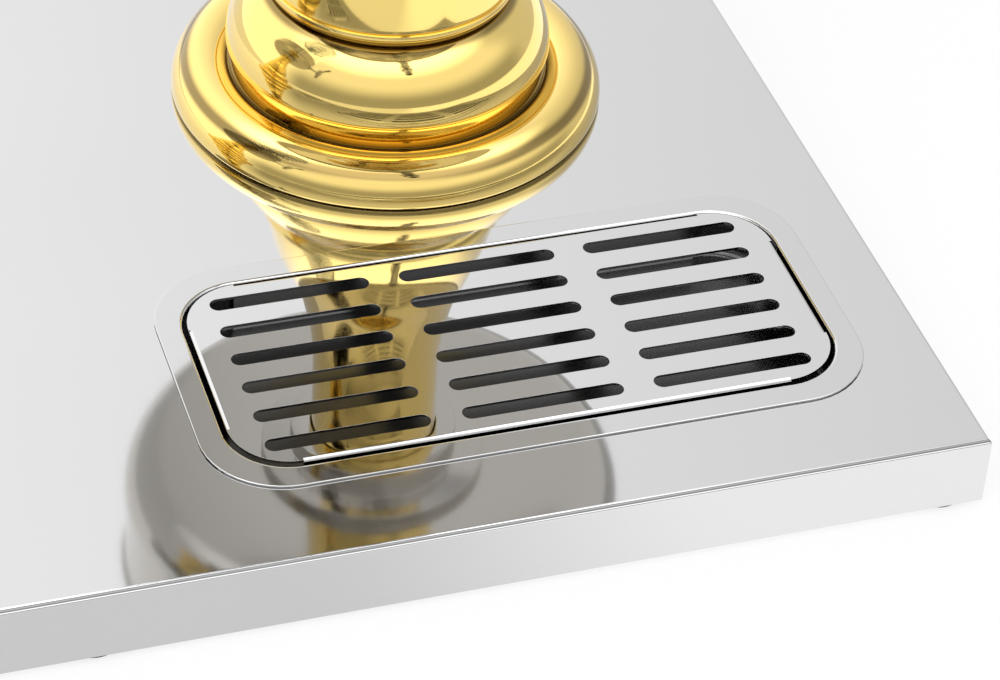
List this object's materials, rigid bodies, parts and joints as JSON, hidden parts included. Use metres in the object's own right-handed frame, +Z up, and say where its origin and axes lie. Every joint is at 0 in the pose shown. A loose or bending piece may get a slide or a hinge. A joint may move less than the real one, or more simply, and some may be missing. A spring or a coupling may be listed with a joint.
{
  "type": "juice dispenser",
  "caption": "Buffet juice dispenser: clear round tanks with taps on gold pedestals, slotted drip trays in a polished steel base, ice tubes under the lids.",
  "frame": {"origin": "under the middle of the base, on the surface it stands on", "axes": "+X to the right, +Y to the back (taps face -Y), +Z up"},
  "size_m": [0.584, 0.36, 0.5769],
  "materials": {
    "polished_steel": "mirror-polished stainless sheet",
    "gold_plate": "mirror-polished gold plating",
    "chrome_tap": "polished chrome plating",
    "plain_steel": "plain turned and pressed steel",
    "rubber": "matt black rubber",
    "silicone": "milky silicone rubber",
    "clear_plastic": "clear moulded plastic",
    "black_plastic": "glossy black plastic"
  },
  "bodies": {
    "root": {"backing_plates": "plain_steel", "base_shell": "polished_steel", "clamp_seal_left": "silicone", "clamp_seal_right": "silicone", "column_hub_left": "polished_steel", "column_hub_right": "polished_steel", "lever_pins": "plain_steel", "pedestal_collar_left": "gold_plate", "pedestal_collar_right": "gold_plate", "pedestal_column_left": "gold_plate", "pedestal_column_right": "gold_plate", "pedestal_dome_left": "gold_plate", "pedestal_dome_right": "gold_plate", "pedestal_ring_left": "gold_plate", "pedestal_ring_right": "gold_plate", "rubber_pads": "rubber", "tank_cup_left": "polished_steel", "tank_cup_right": "polished_steel", "tank_left": "clear_plastic", "tank_right": "clear_plastic", "tank_seat_gasket_left": "silicone", "tank_seat_gasket_right": "silicone", "tap_body_left": "chrome_tap", "tap_body_right": "chrome_tap", "tap_bonnet_left": "chrome_tap", "tap_bonnet_right": "chrome_tap", "tap_inner_gasket_left": "silicone", "tap_inner_gasket_right": "silicone", "tap_nuts": "plain_steel", "tap_outer_gasket_left": "silicone", "tap_outer_gasket_right": "silicone", "tap_spout_left": "chrome_tap", "tap_spout_right": "chrome_tap", "tie_rod_nuts": "plain_steel", "tie_rod_washers": "plain_steel", "tie_rods": "plain_steel"},
    "drip_pan_left": {"drip_pan_left": "polished_steel"},
    "drip_grille_left": {"drip_grille_left": "polished_steel"},
    "lid_left": {"lid_left": "polished_steel"},
    "ice_tube_left": {"ice_tube_left": "clear_plastic"},
    "ice_cap_left": {"ice_cap_left": "polished_steel", "cap_knob_left": "gold_plate", "knob_screw_left": "plain_steel"},
    "tap_lever_left": {"tap_lever_left": "chrome_tap", "lever_grip_left": "black_plastic"},
    "tap_stem_left": {"tap_stem_left": "chrome_tap", "tap_seal_left": "silicone", "tap_spring_left": "plain_steel"},
    "drip_pan_right": {"drip_pan_right": "polished_steel"},
    "drip_grille_right": {"drip_grille_right": "polished_steel"},
    "lid_right": {"lid_right": "polished_steel"},
    "ice_tube_right": {"ice_tube_right": "clear_plastic"},
    "ice_cap_right": {"ice_cap_right": "polished_steel", "cap_knob_right": "gold_plate", "knob_screw_right": "plain_steel"},
    "tap_lever_right": {"tap_lever_right": "chrome_tap", "lever_grip_right": "black_plastic"},
    "tap_stem_right": {"tap_stem_right": "chrome_tap", "tap_seal_right": "silicone", "tap_spring_right": "plain_steel"}
  },
  "joints": [
    {"name": "drip_pan_lift_left", "type": "slide", "parent": "root", "child": "drip_pan_left", "axis": [0, 0, 1], "range_m": [0, 0.06]},
    {"name": "drip_grille_lift_left", "type": "slide", "parent": "drip_pan_left", "child": "drip_grille_left", "axis": [0, 0, 1], "range_m": [0, 0.06]},
    {"name": "lid_lift_left", "type": "slide", "parent": "root", "child": "lid_left", "axis": [0, 0, 1], "range_m": [0, 0.31]},
    {"name": "ice_tube_lift_left", "type": "slide", "parent": "lid_left", "child": "ice_tube_left", "axis": [0, 0, 1], "range_m": [0, 0.31]},
    {"name": "ice_cap_lift_left", "type": "slide", "parent": "ice_tube_left", "child": "ice_cap_left", "axis": [0, 0, 1], "range_m": [0, 0.05]},
    {"name": "tap_lever_hinge_left", "type": "hinge", "parent": "root", "child": "tap_lever_left", "pos_m": [-0.157, -0.1, 0.27129], "axis": [1, 0, 0], "range_deg": [0, 28], "stiffness_Nm_per_rad": 0.4, "springref_deg": -14.32},
    {"name": "tap_stem_slide_left", "type": "slide", "parent": "root", "child": "tap_stem_left", "axis": [0, 0, 1], "range_m": [0, 0.00515], "deforming": ["tap_spring_left"]},
    {"name": "drip_pan_lift_right", "type": "slide", "parent": "root", "child": "drip_pan_right", "axis": [0, 0, 1], "range_m": [0, 0.06]},
    {"name": "drip_grille_lift_right", "type": "slide", "parent": "drip_pan_right", "child": "drip_grille_right", "axis": [0, 0, 1], "range_m": [0, 0.06]},
    {"name": "lid_lift_right", "type": "slide", "parent": "root", "child": "lid_right", "axis": [0, 0, 1], "range_m": [0, 0.31]},
    {"name": "ice_tube_lift_right", "type": "slide", "parent": "lid_right", "child": "ice_tube_right", "axis": [0, 0, 1], "range_m": [0, 0.31]},
    {"name": "ice_cap_lift_right", "type": "slide", "parent": "ice_tube_right", "child": "ice_cap_right", "axis": [0, 0, 1], "range_m": [0, 0.05]},
    {"name": "tap_lever_hinge_right", "type": "hinge", "parent": "root", "child": "tap_lever_right", "pos_m": [0.157, -0.1, 0.27129], "axis": [1, 0, 0], "range_deg": [0, 28], "stiffness_Nm_per_rad": 0.4, "springref_deg": -14.32},
    {"name": "tap_stem_slide_right", "type": "slide", "parent": "root", "child": "tap_stem_right", "axis": [0, 0, 1], "range_m": [0, 0.00515], "deforming": ["tap_spring_right"]}
  ],
  "couplings": [
    {"joint": "tap_stem_slide_left", "follows": "tap_lever_hinge_left", "m_per_rad": 0.0105},
    {"joint": "tap_stem_slide_right", "follows": "tap_lever_hinge_right", "m_per_rad": 0.0105}
  ]
}
